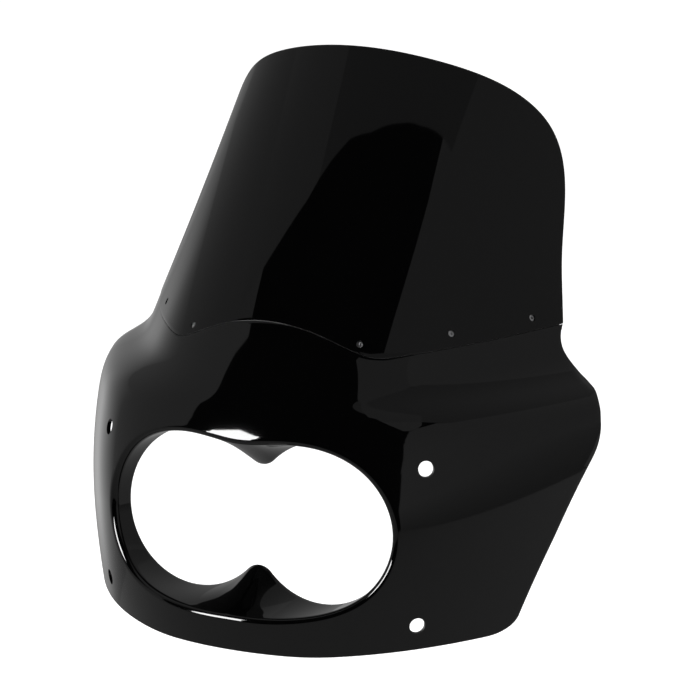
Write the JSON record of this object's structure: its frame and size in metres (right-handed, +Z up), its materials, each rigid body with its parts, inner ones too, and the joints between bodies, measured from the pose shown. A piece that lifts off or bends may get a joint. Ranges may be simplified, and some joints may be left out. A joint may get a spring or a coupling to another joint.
{
  "type": "motorcycle fairing",
  "caption": "Fork-mounted motorcycle fairing: a moulded shell with a twin-lamp opening and a tall raked windshield screwed along its top edge.",
  "frame": {"origin": "middle of the twin-lamp opening, in the plane of the duct's rear rim", "axes": "+X to the right across the fairing, -Y out of the front, +Z up"},
  "size_m": [0.561, 0.3409, 0.5501],
  "materials": {
    "shell_plastic": "high gloss black",
    "windshield_acrylic": "polished opaque black",
    "screw_steel": "dull",
    "washer_steel": "dull",
    "nut_steel": "dull"
  },
  "bodies": {
    "root": {"fairing_shell": "shell_plastic", "windshield": "windshield_acrylic", "windshield_screws": "screw_steel", "screw_washers": "washer_steel", "lock_nuts": "nut_steel"}
  },
  "joints": []
}
